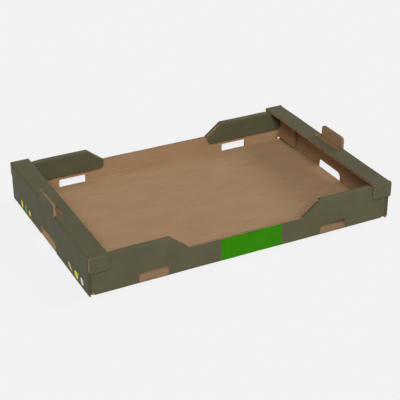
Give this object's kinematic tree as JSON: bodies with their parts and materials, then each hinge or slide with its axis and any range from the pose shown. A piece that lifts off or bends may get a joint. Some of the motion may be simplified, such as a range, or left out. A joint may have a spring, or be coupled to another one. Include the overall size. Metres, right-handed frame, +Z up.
{
  "type": "cardboard tray box",
  "caption": "open corrugated-board produce tray with folded end ledges, corner ears, stacking tabs, rolled-over corner flaps and bottom notches",
  "frame": {"origin": "middle of the underside, on the surface that the tray stands on", "axes": "+X along the tray, +Y across it towards the back, +Z up"},
  "size_m": [0.6, 0.4, 0.099],
  "materials": {
    "board": "printed matt"
  },
  "bodies": {
    "root": {"tray": "board"}
  },
  "joints": []
}
